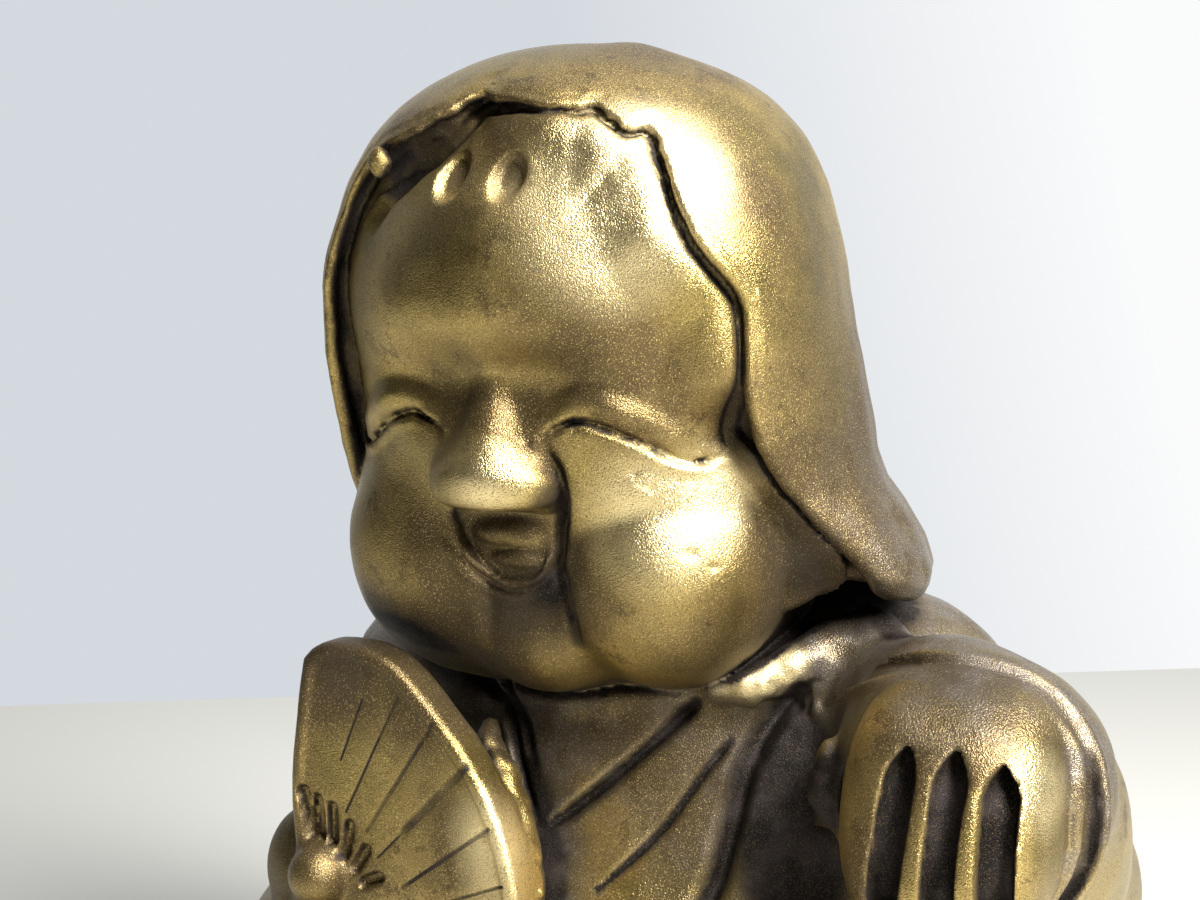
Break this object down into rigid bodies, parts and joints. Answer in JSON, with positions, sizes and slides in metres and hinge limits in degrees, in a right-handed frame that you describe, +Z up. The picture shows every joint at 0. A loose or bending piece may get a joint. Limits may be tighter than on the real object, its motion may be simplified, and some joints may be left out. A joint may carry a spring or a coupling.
{
  "type": "otafuku figure",
  "caption": "Kneeling, smiling folk figure in a robe, cast in one piece of brass, with a half open fan and one hand raised in its sleeve.",
  "frame": {"origin": "middle of the flat underside", "axes": "+Z up; the figure faces -Y; its own left is +X"},
  "size_m": [0.236, 0.18, 0.259],
  "materials": {
    "otafuku_figure": "sand cast and brushed, with brown patina in the recesses"
  },
  "bodies": {
    "root": {"otafuku_figure": "otafuku_figure"}
  },
  "joints": []
}
